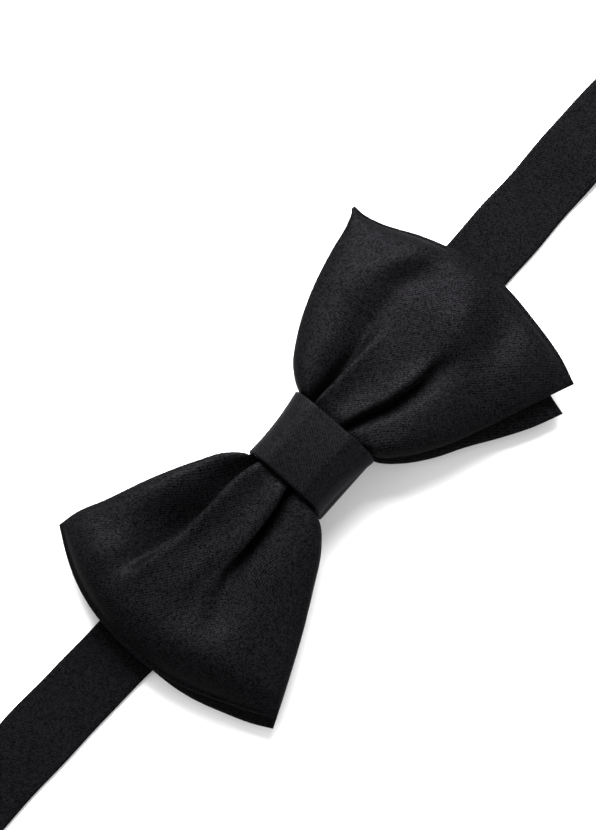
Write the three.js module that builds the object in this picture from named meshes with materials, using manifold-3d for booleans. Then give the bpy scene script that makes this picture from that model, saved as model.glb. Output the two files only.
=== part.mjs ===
// A pre-tied satin bow tie, lying on its back.
// Millimetres. +X runs along the neck strap, +Y across it, +Z up out of the bow's front.
// The origin is the centre of the knot's flat back face.
import * as THREE from 'three';
import { mergeVertices } from 'three/addons/utils/BufferGeometryUtils.js';
import Module from 'manifold-3d';

const wasm = await Module();
wasm.setup();

// ---- driving dimensions ----------------------------------------------------------------

const GAP = 0.3;                 // clearance between pieces that touch on the real tie
const STRAP_WIDTH = 18;
const STRAP_THICK = 1.0;         // two satin layers with a fused interlining between them
const STRAP_Y = 1.5;             // the strap runs a little off the knot's centre line
const EYE_BAR_X = -208;          // where the strap turns round the eye
const HOOK_BAR_X = 208;          // where it turns round the hook
const SLIDE_X = 150;             // middle bar of the adjuster slide at rest
const BEND_X = 95;               // where the strap is allowed to bend, each side of the knot
const BEND_GAP = 0.75;           // half the gap that the bend needs between two solids
const BAR_RADIUS = 0.5;          // the round bars that the strap is turned round

const KNOT_LEFT = -9;
const KNOT_RIGHT = 10;
const KNOT_HALF_WIDTH = 11.9;
const KNOT_HEIGHT = 17.8;
const KNOT_WALL = 1.0;

const SATIN_WALL = 0.6;          // satin of each bow layer
const EDGE_HALF = 1.0;           // half the thickness of a bow layer's folded edge

// ---- materials -------------------------------------------------------------------------

const finish = (color, roughness, metalness) =>
  new THREE.MeshStandardMaterial({ color, roughness, metalness });
const bowSatin = finish(0x1b1b20, 0.5, 0);
const knotSatin = finish(0x1d1d24, 0.5, 0);
const strapSatin = finish(0x1a1a1f, 0.5, 0);
const thread = finish(0x101014, 0.8, 0);
const interlining = finish(0x2c2c2e, 0.95, 0);
const nickel = finish(0xb9bcc2, 0.25, 1);

const tie = new THREE.Group();

function add(name, geometry, material) {
  const mesh = new THREE.Mesh(geometry, material);
  mesh.name = name;
  tie.add(mesh);
}

// ---- solids ----------------------------------------------------------------------------

function toSolid(geometry) {
  const bare = geometry.clone();
  bare.deleteAttribute('normal');
  bare.deleteAttribute('uv');
  const merged = mergeVertices(bare, 1e-4);
  return new wasm.Manifold(new wasm.Mesh({
    numProp: 3,
    vertProperties: new Float32Array(merged.attributes.position.array),
    triVerts: new Uint32Array(merged.index.array),
  }));
}

function toGeometry(solid) {
  const mesh = solid.getMesh();
  const geometry = new THREE.BufferGeometry();
  geometry.setAttribute('position', new THREE.BufferAttribute(new Float32Array(mesh.vertProperties), 3));
  geometry.setIndex(new THREE.BufferAttribute(new Uint32Array(mesh.triVerts), 1));
  geometry.computeVertexNormals();
  return geometry;
}

function union(...geometries) {
  const solids = geometries.map(toSolid);
  return toGeometry(solids.reduce((whole, solid) => whole.add(solid)));
}

function box(x0, x1, y0, y1, z0, z1) {
  const geometry = new THREE.BoxGeometry(x1 - x0, y1 - y0, z1 - z0);
  return geometry.translate((x0 + x1) / 2, (y0 + y1) / 2, (z0 + z1) / 2);
}

// A bar of round section along Y.
function crossBar(x, z, radius, y0, y1) {
  const geometry = new THREE.CylinderGeometry(radius, radius, y1 - y0, 16);
  return geometry.translate(x, (y0 + y1) / 2, z);
}

// An arc of points about (x, z), from one angle to another, in degrees.
function arc(x, z, radius, from, to, steps = 8) {
  const points = [];
  for (let i = 0; i <= steps; i += 1) {
    const angle = THREE.MathUtils.degToRad(from + ((to - from) * i) / steps);
    points.push([x + radius * Math.cos(angle), z + radius * Math.sin(angle)]);
  }
  return points;
}

// The outline of a ribbon seen from its edge: the centre line, offset to both sides.
function ribbonShape(path, thickness) {
  const line = path.map(([a, b]) => new THREE.Vector2(a, b));
  const sides = [[], []];
  line.forEach((point, i) => {
    const before = line[Math.max(i - 1, 0)];
    const after = line[Math.min(i + 1, line.length - 1)];
    const into = point.clone().sub(before).normalize();
    const out = after.clone().sub(point).normalize();
    const along = into.clone().add(out).normalize();
    const normal = new THREE.Vector2(-along.y, along.x);
    const square = into.lengthSq() > 0 ? into : out;
    const lean = Math.max(along.dot(square), 0.5);
    const reach = thickness / 2 / lean;
    sides[0].push(point.clone().addScaledVector(normal, reach));
    sides[1].unshift(point.clone().addScaledVector(normal, -reach));
  });
  return new THREE.Shape([...sides[0], ...sides[1]]);
}

function extrude(shape, depth) {
  return new THREE.ExtrudeGeometry(shape, { depth, bevelEnabled: false, curveSegments: 6 });
}

// A shape drawn in the XZ plane, extruded along Y.
function extrudeY(shape, y0, y1) {
  return extrude(shape, y1 - y0).rotateX(Math.PI / 2).translate(0, y1, 0);
}

// A shape drawn in the YZ plane, extruded along X.
function extrudeX(shape, x0, x1) {
  const turn = new THREE.Matrix4().makeBasis(
    new THREE.Vector3(0, 1, 0), new THREE.Vector3(0, 0, 1), new THREE.Vector3(1, 0, 0));
  return extrude(shape, x1 - x0).applyMatrix4(turn).translate(x0, 0, 0);
}

const strapEdges = [STRAP_Y - STRAP_WIDTH / 2, STRAP_Y + STRAP_WIDTH / 2];

function strapSolid(path) {
  return extrudeY(ribbonShape(path, STRAP_THICK), ...strapEdges);
}

// A rectangle in the YZ plane with round corners, wider at the top than at the bottom.
function archOutline(half, bottom, top, bottomRadius, topRadius) {
  const shape = new THREE.Path();
  shape.moveTo(-half + bottomRadius, bottom);
  shape.lineTo(half - bottomRadius, bottom);
  shape.absarc(half - bottomRadius, bottom + bottomRadius, bottomRadius, -Math.PI / 2, 0);
  shape.lineTo(half, top - topRadius);
  shape.absarc(half - topRadius, top - topRadius, topRadius, 0, Math.PI / 2);
  shape.lineTo(-half + topRadius, top);
  shape.absarc(-half + topRadius, top - topRadius, topRadius, Math.PI / 2, Math.PI);
  shape.lineTo(-half, bottom + bottomRadius);
  shape.absarc(-half + bottomRadius, bottom + bottomRadius, bottomRadius, Math.PI, 1.5 * Math.PI);
  return shape;
}

function archRing(outer, inner, x0, x1) {
  const shape = new THREE.Shape(outer.getPoints(6));
  shape.holes.push(inner);
  return extrudeX(shape, x0, x1);
}

// ---- the two layers of the bow ---------------------------------------------------------

// The value at t of a table of [t, value] rows, joined by straight lines.
function table(rows, t) {
  const last = rows.length - 1;
  if (t <= rows[0][0]) return rows[0][1];
  for (let i = 0; i < last; i += 1) {
    const [t0, a] = rows[i];
    const [t1, b] = rows[i + 1];
    if (t <= t1) return a + ((b - a) * (t - t0)) / (t1 - t0);
  }
  return rows[last][1];
}

// Each layer's edges as seen from the front, from the knot's middle out to the wing's tips:
// [x, y] pairs, and how far the end edge bulges past the line between its tips.
const HIDDEN_HALF = 8.6;         // half the layer's width where the knot squeezes it
const frontOutline = {
  right: {
    upper: [[0, HIDDEN_HALF], [9.6, HIDDEN_HALF], [11, 12.5], [16, 19.2], [26, 24.8],
      [44, 30.6], [55.3, 33.2]],
    lower: [[0, -HIDDEN_HALF], [9.6, -HIDDEN_HALF], [11, -12.5], [16, -18.5], [28, -25.5],
      [44, -31.3], [57.8, -37]],
    bulge: 8.6,
  },
  left: {
    upper: [[0, HIDDEN_HALF], [8.6, HIDDEN_HALF], [10.4, 12.8], [18.5, 19.5], [29.5, 25.6],
      [41, 30.6], [52.9, 34.6]],
    lower: [[0, -HIDDEN_HALF], [8.6, -HIDDEN_HALF], [11, -13.2], [17.5, -18.6], [29, -24.8],
      [43, -31.5], [52.7, -36]],
    bulge: 11,
  },
};
const BACK_SPREAD = 1.02;        // the back layer is cut a little larger
const backOutline = {};
for (const side of ['right', 'left']) {
  const wider = ([x, y]) => [x < 10 ? x : x * BACK_SPREAD, x < 10 ? y : y * BACK_SPREAD];
  backOutline[side] = {
    upper: frontOutline[side].upper.map(wider),
    lower: frontOutline[side].lower.map(wider),
    bulge: frontOutline[side].bulge,
  };
}

// How each layer stands: height of its middle, half thickness and droop of its edges,
// against the distance from the knot as a share of the wing's length.
const frontRise = {
  middle: [[0, 10.9], [0.16, 10.9], [0.22, 11.3], [0.58, 12.2], [0.8, 11.4], [1, 9.6]],
  half: [[0, 3.7], [0.16, 3.7], [0.22, 4.3], [0.58, 5.4], [0.8, 4.4], [1, 2]],
  droop: [[0, 0], [0.16, 0], [0.58, 4.4], [1, 3.4]],
};
const backRise = {
  middle: [[0, 5.15], [0.16, 5.15], [0.58, 4.3], [1, 4.3]],
  half: [[0, 1.75], [0.16, 1.75], [0.58, 1.5], [1, 1.3]],
  droop: [[0, 0], [0.16, 0], [0.58, 1], [1, 1]],
};

const STATIONS = [0, 0.08, 0.15, 0.168, 0.19, 0.215, 0.28, 0.4, 0.55, 0.7, 0.84, 0.94, 1];
const ACROSS = 10;

// A point of a layer: side 1 or -1, share of the wing's length, v from -1 to 1 across it.
function layerPoint(outline, rise, sign, share, v) {
  const wing = sign > 0 ? outline.right : outline.left;
  const tipOf = (edge) => edge[edge.length - 1][0];
  const xUpper = share * tipOf(wing.upper);
  const xLower = share * tipOf(wing.lower);
  const yUpper = table(wing.upper, xUpper);
  const yLower = table(wing.lower, xLower);
  const blend = (v + 1) / 2;
  const bulge = wing.bulge * share ** 3 * (1 - v * v);
  return {
    x: sign * (xLower + (xUpper - xLower) * blend + bulge),
    y: yLower + (yUpper - yLower) * blend,
    middle: table(rise.middle, share) - table(rise.droop, share) * v * v,
    half: EDGE_HALF + (table(rise.half, share) - EDGE_HALF) * Math.sqrt(1 - v * v),
  };
}

// The closed solid of a layer, drawn in from its edges by inset and from its faces by skin.
const MEAN_LENGTH = 60;          // of a wing, from the knot's middle to its end edge
const MEAN_HALF_WIDTH = 24;      // of a wing
function layerSolid(outline, rise, inset, skin) {
  const positions = [];
  const indices = [];
  const reach = 1 - inset / MEAN_LENGTH;
  const across = 1 - inset / MEAN_HALF_WIDTH;
  const stations = [...STATIONS.slice(1).reverse().map((s) => -s), ...STATIONS];
  for (const station of stations) {
    const top = [];
    const bottom = [];
    for (let k = 0; k <= ACROSS; k += 1) {
      const v = across * Math.cos((Math.PI * k) / ACROSS);
      const p = layerPoint(outline, rise, station < 0 ? -1 : 1, Math.abs(station) * reach, v);
      top.push([p.x, p.y, p.middle + p.half - skin]);
      bottom.unshift([p.x, p.y, p.middle - p.half + skin]);
    }
    positions.push(...top.flat(), ...bottom.flat());
  }
  const ring = 2 * (ACROSS + 1);
  for (let i = 0; i < stations.length - 1; i += 1) {
    for (let k = 0; k < ring; k += 1) {
      const p = i * ring + k;
      const q = i * ring + ((k + 1) % ring);
      indices.push(p, q, p + ring, q, q + ring, p + ring);
    }
  }
  for (let k = 0; k < ACROSS; k += 1) {
    const top = k;
    const bottom = ring - 1 - k;
    indices.push(top, bottom - 1, top + 1, top, bottom, bottom - 1);
    const end = (stations.length - 1) * ring;
    indices.push(end + top, end + top + 1, end + bottom - 1, end + top, end + bottom - 1, end + bottom);
  }
  const geometry = new THREE.BufferGeometry();
  geometry.setAttribute('position', new THREE.BufferAttribute(new Float32Array(positions), 3));
  geometry.setIndex(indices);
  return toSolid(geometry);
}

// A satin layer is a flat bag with a slit in the middle of its back, under the binding,
// where it was turned right side out. Its interlining lies loose inside.
const SLIT_HALF_LENGTH = 4;
const SLIT_HALF_WIDTH = 1.5;
const CAVITY_INSET = 2.6;
const LINING_INSET = 3.4;
const LINING_CLEAR = 0.25;

function addLayer(name, outline, rise) {
  const back = rise.middle[0][1] - rise.half[0][1];
  const slit = box(-SLIT_HALF_LENGTH, SLIT_HALF_LENGTH, -SLIT_HALF_WIDTH, SLIT_HALF_WIDTH,
    back - 0.2, back + SATIN_WALL + 0.2);
  const bag = layerSolid(outline, rise, 0, 0)
    .subtract(layerSolid(outline, rise, CAVITY_INSET, SATIN_WALL))
    .subtract(toSolid(slit));
  add(name, toGeometry(bag), bowSatin);
  const inner = layerSolid(outline, rise, LINING_INSET, SATIN_WALL + LINING_CLEAR);
  add(`${name}_interlining`, toGeometry(inner), interlining);
}

addLayer('front_bow', frontOutline, frontRise);
addLayer('back_bow', backOutline, backRise);

// ---- binding and knot ------------------------------------------------------------------

const BINDING_HALF_LENGTH = 1.8;
const BINDING_OUTER = 9.5;
const BINDING_THICK = 0.5;
const BINDING_BOTTOM = 2.6;
const BINDING_TOP = 15.4;
const bindingOutside = archOutline(BINDING_OUTER, BINDING_BOTTOM, BINDING_TOP, 1.2, 4);
const bindingInside = archOutline(BINDING_OUTER - BINDING_THICK, BINDING_BOTTOM + BINDING_THICK,
  BINDING_TOP - BINDING_THICK, 0.7, 3.5);
add('waist_binding',
  archRing(bindingOutside, bindingInside, -BINDING_HALF_LENGTH, BINDING_HALF_LENGTH), thread);

const KNOT_TOP_RADIUS = 6;
const KNOT_BOTTOM_RADIUS = 1.2;
const SEAM_Y = 6;                // the knot band's ends meet off centre at the back
const SEAM_HALF = 1.2;
const SEAM_DEPTH = 0.35;
const knotOutside = archOutline(KNOT_HALF_WIDTH, 0, KNOT_HEIGHT, KNOT_BOTTOM_RADIUS, KNOT_TOP_RADIUS);
const knotInside = archOutline(KNOT_HALF_WIDTH - KNOT_WALL, KNOT_WALL, KNOT_HEIGHT - KNOT_WALL,
  KNOT_BOTTOM_RADIUS - KNOT_WALL, KNOT_TOP_RADIUS - KNOT_WALL);
const knotTube = archRing(knotOutside, knotInside, KNOT_LEFT, KNOT_RIGHT);
const seam = box(KNOT_LEFT - 1, KNOT_RIGHT + 1, SEAM_Y - SEAM_HALF, SEAM_Y + SEAM_HALF, -1, SEAM_DEPTH);
add('knot_band', toGeometry(toSolid(knotTube).subtract(toSolid(seam))), knotSatin);
add('knot_closing_stitches',
  box(KNOT_LEFT + 1, KNOT_RIGHT - 1, SEAM_Y - 0.5, SEAM_Y + 0.5, 0.02, SEAM_DEPTH - 0.05), thread);

const PAD_THICK = 0.8;
const padRadius = KNOT_TOP_RADIUS - KNOT_WALL - GAP - PAD_THICK / 2;
const padHalf = KNOT_HALF_WIDTH - KNOT_WALL - GAP - PAD_THICK / 2;
const padTop = KNOT_HEIGHT - KNOT_WALL - GAP - PAD_THICK / 2;
const PAD_FOOT = 3;
const padPath = [
  [padHalf, PAD_FOOT],
  ...arc(padHalf - padRadius, padTop - padRadius, padRadius, 0, 90),
  ...arc(padRadius - padHalf, padTop - padRadius, padRadius, 90, 180),
  [-padHalf, PAD_FOOT],
];
const PAD_INSET = 0.6;           // the pad stops short of both edges of the knot band
add('knot_interlining',
  extrudeX(ribbonShape(padPath, PAD_THICK), KNOT_LEFT + PAD_INSET, KNOT_RIGHT - PAD_INSET), interlining);

// ---- neck strap ------------------------------------------------------------------------

// Heights of the strap's centre line where it lies in the knot, on the table, and at the
// adjuster, where the slide's end bars lift it.
const inKnot = KNOT_WALL + GAP + STRAP_THICK / 2;
const onTable = STRAP_THICK / 2;
const onSlide = 1.5;
const layerStep = STRAP_THICK + GAP;
const turnRadius = BAR_RADIUS + GAP + STRAP_THICK / 2;

const KNOT_REACH = 31;           // straight far enough for the knot to shift along it
const TABLE_FROM = 60;
const bendEnd = BEND_X - BEND_GAP;
add('strap_center', strapSolid([
  [-bendEnd, onTable], [-TABLE_FROM, onTable], [-KNOT_REACH, inKnot],
  [KNOT_REACH, inKnot], [TABLE_FROM, onTable], [bendEnd, onTable],
]), strapSatin);

const bendStart = BEND_X + BEND_GAP;

// A row of stitches across the strap, from x on, just above the cloth's upper face.
const TACK_LENGTH = 1.2;
const TACK_HEIGHT = 0.3;
const TACK_HALF_WIDTH = 8;
const TACK_CLEAR = 0.1;
function tack(x, top) {
  const z = top + TACK_CLEAR;
  return box(x, x + TACK_LENGTH, STRAP_Y - TACK_HALF_WIDTH, STRAP_Y + TACK_HALF_WIDTH,
    z, z + TACK_HEIGHT);
}

// Left side: the strap turns up round the eye's bar and is stitched down on itself.
const eyeBarZ = onTable + turnRadius;
const LOOP_END = 18;
add('strap_left', strapSolid([
  [-bendStart, onTable],
  ...arc(EYE_BAR_X, eyeBarZ, turnRadius, 270, 90),
  [EYE_BAR_X + 4, onTable + 2 * turnRadius],
  [EYE_BAR_X + 9, onTable + layerStep],
  [EYE_BAR_X + LOOP_END, onTable + layerStep],
]), strapSatin);
add('eye_loop_stitches',
  tack(EYE_BAR_X + LOOP_END - 4, onTable + layerStep + STRAP_THICK / 2), thread);

// Right side: the strap runs through the slide, round the hook's bar and back to the
// slide's middle bar. It is one piece of cloth, split where the hook end and slide shift.
const LEVEL_FROM = 102;
const RUN_FROM = 165;
const hookBarZ = onSlide + turnRadius;
const TURN_START = HOOK_BAR_X - 5;
const returnZ = onSlide + layerStep;
add('strap_right', strapSolid([
  [bendStart, onTable], [BEND_X + 2, onTable], [LEVEL_FROM, onSlide], [RUN_FROM - GAP, onSlide],
]), strapSatin);
add('strap_hook_run', strapSolid([[RUN_FROM, onSlide], [TURN_START - GAP, onSlide]]), strapSatin);
add('strap_hook_turn', strapSolid([
  [TURN_START, onSlide],
  ...arc(HOOK_BAR_X, hookBarZ, turnRadius, -90, 90),
  [TURN_START, onSlide + 2 * turnRadius],
]), strapSatin);
const WRAP_START = SLIDE_X + 10;
add('strap_return_run', strapSolid([
  [WRAP_START + GAP, returnZ], [TURN_START - 7, returnZ], [TURN_START - GAP, onSlide + 2 * turnRadius],
]), strapSatin);

const slideBarZ = returnZ + turnRadius;
const WRAP_END = 8;
add('strap_slide_wrap', strapSolid([
  [WRAP_START, returnZ],
  ...arc(SLIDE_X, slideBarZ, turnRadius, 270, 90),
  [SLIDE_X + 2, returnZ + 2 * turnRadius],
  [SLIDE_X + 5, returnZ + layerStep],
  [SLIDE_X + WRAP_END, returnZ + layerStep],
]), strapSatin);
add('slide_wrap_stitches',
  tack(SLIDE_X + WRAP_END - 2, returnZ + layerStep + STRAP_THICK / 2), thread);

// ---- metal fittings --------------------------------------------------------------------

const RAIL_IN = STRAP_WIDTH / 2 + 0.7;
const RAIL_OUT = RAIL_IN + 1.7;
const METAL_THICK = 1.0;

// The same side rail at both edges of the strap, seen from its edge.
function rails(path) {
  const shape = ribbonShape(path, METAL_THICK);
  return [
    extrudeY(shape, STRAP_Y - RAIL_OUT, STRAP_Y - RAIL_IN),
    extrudeY(shape, STRAP_Y + RAIL_IN, STRAP_Y + RAIL_OUT),
  ];
}

const metalEdges = [STRAP_Y - RAIL_OUT, STRAP_Y + RAIL_OUT];
const fullBar = (x, z, radius) => crossBar(x, z, radius, ...metalEdges);
const plate = (x0, x1) => box(x0, x1, ...metalEdges, 0, METAL_THICK);

// Adjuster slide: the middle bar above the strap, the two end bars below it.
const SLIDE_HALF = 6;
const END_BAR_RADIUS = 0.35;
add('adjuster_slide', union(
  fullBar(SLIDE_X, slideBarZ, BAR_RADIUS),
  fullBar(SLIDE_X - SLIDE_HALF, END_BAR_RADIUS, END_BAR_RADIUS),
  fullBar(SLIDE_X + SLIDE_HALF, END_BAR_RADIUS, END_BAR_RADIUS),
  ...rails([
    [SLIDE_X - SLIDE_HALF, METAL_THICK / 2], [SLIDE_X - 1.5, slideBarZ],
    [SLIDE_X + 1.5, slideBarZ], [SLIDE_X + SLIDE_HALF, METAL_THICK / 2],
  ]),
), nickel);

// Eye: a flat frame; the hook's tongue goes through its wide slot.
const EYE_LENGTH = 14;
const EYE_END_BAR = 3;
add('eye', union(
  fullBar(EYE_BAR_X, eyeBarZ, BAR_RADIUS),
  ...rails([
    [EYE_BAR_X, eyeBarZ], [EYE_BAR_X - 3.5, METAL_THICK / 2], [EYE_BAR_X - EYE_LENGTH, METAL_THICK / 2],
  ]),
  plate(EYE_BAR_X - EYE_LENGTH, EYE_BAR_X - EYE_LENGTH + EYE_END_BAR),
), nickel);

// Hook: a frame with a narrow tongue that is folded back on itself.
const HOOK_LENGTH = 9;
const TONGUE_LENGTH = 9;
const TONGUE_HALF = 4;
const hookRail = [[HOOK_BAR_X, hookBarZ], [HOOK_BAR_X + 4, METAL_THICK / 2],
  [HOOK_BAR_X + HOOK_LENGTH, METAL_THICK / 2]];
const tongueEnd = HOOK_BAR_X + HOOK_LENGTH + TONGUE_LENGTH;
const TONGUE_TURN = 1.3;
const tongue = ribbonShape([
  [HOOK_BAR_X + HOOK_LENGTH - 1, METAL_THICK / 2],
  ...arc(tongueEnd, METAL_THICK / 2 + TONGUE_TURN, TONGUE_TURN, -90, 90),
  [tongueEnd - TONGUE_LENGTH + 1, METAL_THICK / 2 + 2 * TONGUE_TURN],
], METAL_THICK);
add('hook', union(
  fullBar(HOOK_BAR_X, hookBarZ, BAR_RADIUS),
  ...rails(hookRail),
  plate(HOOK_BAR_X + HOOK_LENGTH - 3, HOOK_BAR_X + HOOK_LENGTH),
  extrudeY(tongue, STRAP_Y - TONGUE_HALF, STRAP_Y + TONGUE_HALF),
), nickel);

export default tie;
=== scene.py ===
# %% [markdown]
# # A black satin bow tie
#
# The tie is pre-tied: two flat satin bags are pinched in the middle to make the bow, a
# satin band is drawn round them as the knot, and a flat satin strap runs through the knot
# and closes behind the neck. It lies on its back, so +Z points out of the bow's front, +X
# runs along the strap towards the hook and +Y points across it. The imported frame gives
# every place, and this script gives the looks.

import bmesh
import bpy
import numpy as np
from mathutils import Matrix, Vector


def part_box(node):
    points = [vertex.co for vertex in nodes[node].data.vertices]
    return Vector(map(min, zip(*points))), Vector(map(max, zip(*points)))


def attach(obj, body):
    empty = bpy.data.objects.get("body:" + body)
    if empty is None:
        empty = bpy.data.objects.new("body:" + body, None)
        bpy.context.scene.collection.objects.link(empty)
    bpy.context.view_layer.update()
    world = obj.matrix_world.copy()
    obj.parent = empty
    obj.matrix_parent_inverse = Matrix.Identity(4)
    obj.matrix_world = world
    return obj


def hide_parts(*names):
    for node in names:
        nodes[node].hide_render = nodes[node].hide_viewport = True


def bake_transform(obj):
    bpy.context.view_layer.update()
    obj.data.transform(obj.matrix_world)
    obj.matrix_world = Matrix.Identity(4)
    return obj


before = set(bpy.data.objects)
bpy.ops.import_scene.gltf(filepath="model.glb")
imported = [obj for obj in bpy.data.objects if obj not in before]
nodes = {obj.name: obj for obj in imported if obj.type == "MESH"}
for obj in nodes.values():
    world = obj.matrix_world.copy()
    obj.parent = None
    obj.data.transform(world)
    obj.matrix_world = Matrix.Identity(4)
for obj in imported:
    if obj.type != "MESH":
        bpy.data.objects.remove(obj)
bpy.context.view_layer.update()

MM = 0.001


# %% [markdown]
# ## Camera
#
# A long lens from almost straight above keeps the strap's edges parallel. The camera is
# turned round the bow so that the strap crosses the view as a diagonal, and it leans a
# little so that the rim of the back bow shows past the front one.

# %% Camera
CAMERA_AZIMUTH = np.radians(-48.4)
CAMERA_ELEVATION = np.radians(80)
AIM = np.array([6.35, 9.0, 8.0]) * MM
VIEW_HEIGHT = 205 * MM
LENS_MM = 100.0
SENSOR_MM = 36.0

camera = bpy.data.objects.new("camera", bpy.data.cameras.new("camera"))
bpy.context.scene.collection.objects.link(camera)
camera.data.lens = LENS_MM
camera.data.sensor_width = SENSOR_MM
back = Vector((
    np.sin(CAMERA_AZIMUTH) * np.cos(CAMERA_ELEVATION),
    -np.cos(CAMERA_AZIMUTH) * np.cos(CAMERA_ELEVATION),
    np.sin(CAMERA_ELEVATION),
))
camera.location = Vector(AIM) + back * (VIEW_HEIGHT * LENS_MM / SENSOR_MM)
camera.rotation_mode = "QUATERNION"
camera.rotation_quaternion = back.to_track_quat("Z", "Y")
bpy.context.scene.camera = camera

# %% [markdown]
# ## Small tools for surfaces
#
# Cloth edges are smooth curves through a few points, so one helper runs a curve through
# points by chord length. Every height along a wing is a short table joined smoothly. Both
# take the same Hermite cubic between two neighbours, so neither leaves a corner.


# %% Curves and tables
def hermite(f, width, first, slope_first, last, slope_last):
    """The cubic from first to last with given end slopes, at f from 0 to 1 of its width."""
    return (
        (2 * f**3 - 3 * f**2 + 1) * first
        + (f**3 - 2 * f**2 + f) * width * slope_first
        + (3 * f**2 - 2 * f**3) * last
        + (f**3 - f**2) * width * slope_last
    )


def spline(points, t):
    """The Catmull-Rom curve through points, at t from 0 to 1 by chord length.

    Each span between two points is a Hermite cubic whose end slopes are the mean of the
    slopes of the spans on both sides, so the curve has no corner.
    """
    points = np.asarray(points, float)
    steps = np.linalg.norm(np.diff(points, axis=0), axis=1)
    knots = np.concatenate([[0.0], np.cumsum(steps)])
    knots /= knots[-1]
    slopes = np.gradient(points, knots, axis=0)
    t = np.clip(np.asarray(t, float), 0, 1)
    i = np.clip(np.searchsorted(knots, t, side="right") - 1, 0, len(knots) - 2)
    width = (knots[i + 1] - knots[i])[:, None]
    f = ((t - knots[i]) / (knots[i + 1] - knots[i]))[:, None]
    return hermite(f, width, points[i], slopes[i], points[i + 1], slopes[i + 1])


def table(rows, t):
    """The value at t of (t, value) rows, joined by a smooth curve that passes every row."""
    rows = np.asarray(rows, float)
    x, y = rows[:, 0], rows[:, 1]
    slopes = np.gradient(y, x)
    t = np.clip(np.asarray(t, float), x[0], x[-1])
    i = np.clip(np.searchsorted(x, t, side="right") - 1, 0, len(x) - 2)
    width = x[i + 1] - x[i]
    f = (t - x[i]) / width
    return hermite(f, width, y[i], slopes[i], y[i + 1], slopes[i + 1])


def ease(t):
    """0 below 0, 1 above 1, and t squared times (3 - 2t) between."""
    t = np.clip(t, 0, 1)
    return t * t * (3 - 2 * t)


# %% [markdown]
# ## Meshes from arrays of points
#
# Cloth is a surface over a grid, so each piece is computed as an array of points and turned
# into a mesh in one go. The two faces of a bag share their border points, which closes it
# with no seam. Every piece carries its own lengths along and across the cloth as its uv, so
# that the weave keeps its size wherever the cloth goes.


# %% Meshes from grids
def new_object(name, points, quads, uv):
    """A smooth mesh object from points in mm, quads of indices and one uv per point, in mm."""
    mesh = bpy.data.meshes.new(name)
    mesh.from_pydata((points * MM).tolist(), [], quads.tolist())
    layer = mesh.uv_layers.new(name="UVMap")
    loops = np.empty(len(mesh.loops), int)
    mesh.loops.foreach_get("vertex_index", loops)
    layer.data.foreach_set("uv", (uv[loops] * MM).ravel())
    mesh.shade_smooth()
    mesh.update()
    piece = bpy.data.objects.new(name, mesh)
    bpy.context.scene.collection.objects.link(piece)
    print(f"{name}: {len(points)} points, {len(quads)} faces")
    return piece


def grid_quads(rows, columns):
    """Quads of a grid of indices, turned so that rows x columns points along the normal."""
    index = np.arange(rows * columns).reshape(rows, columns)
    corner = [index[:-1, :-1], index[1:, :-1], index[1:, 1:], index[:-1, 1:]]
    return np.stack(corner, -1).reshape(-1, 4)


def arc_uv(points):
    """(along, across) lengths in mm over a grid of points, measured along its rows and columns."""
    along = np.linalg.norm(np.diff(points, axis=0), axis=2)
    across = np.linalg.norm(np.diff(points, axis=1), axis=2)
    u = np.zeros(points.shape[:2])
    v = np.zeros(points.shape[:2])
    u[1:] = np.cumsum(along, axis=0)
    v[:, 1:] = np.cumsum(across, axis=1)
    middle_row, middle_column = points.shape[0] // 2, points.shape[1] // 2
    u -= u[middle_row]
    v -= v[:, middle_column:middle_column + 1]
    return np.stack([u, v], -1)


def pillow(name, top, bottom):
    """One closed bag from two grids of points that share their border."""
    rows, columns = top.shape[:2]
    upper = grid_quads(rows, columns)
    border = np.ones((rows, columns), bool)
    border[1:-1, 1:-1] = False
    index = np.arange(rows * columns).reshape(rows, columns)
    lower_index = index.copy()
    lower_index[~border] = rows * columns + np.arange((~border).sum())
    lower = lower_index.ravel()[upper][:, ::-1]
    points = np.concatenate([top.reshape(-1, 3), bottom[~border]])
    uv = np.concatenate([arc_uv(top).reshape(-1, 2), arc_uv(bottom)[~border]])
    return new_object(name, points, np.concatenate([upper, lower]), uv)


# %% [markdown]
# ## The bow's outline
#
# Each wing fans out from the knot between two curved sides, and ends in a bowed edge
# between two corners. The real bag is cut to that shape and turned right side out, so its
# corners stay a little sharp. Points are in mm from the middle of the knot.


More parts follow.
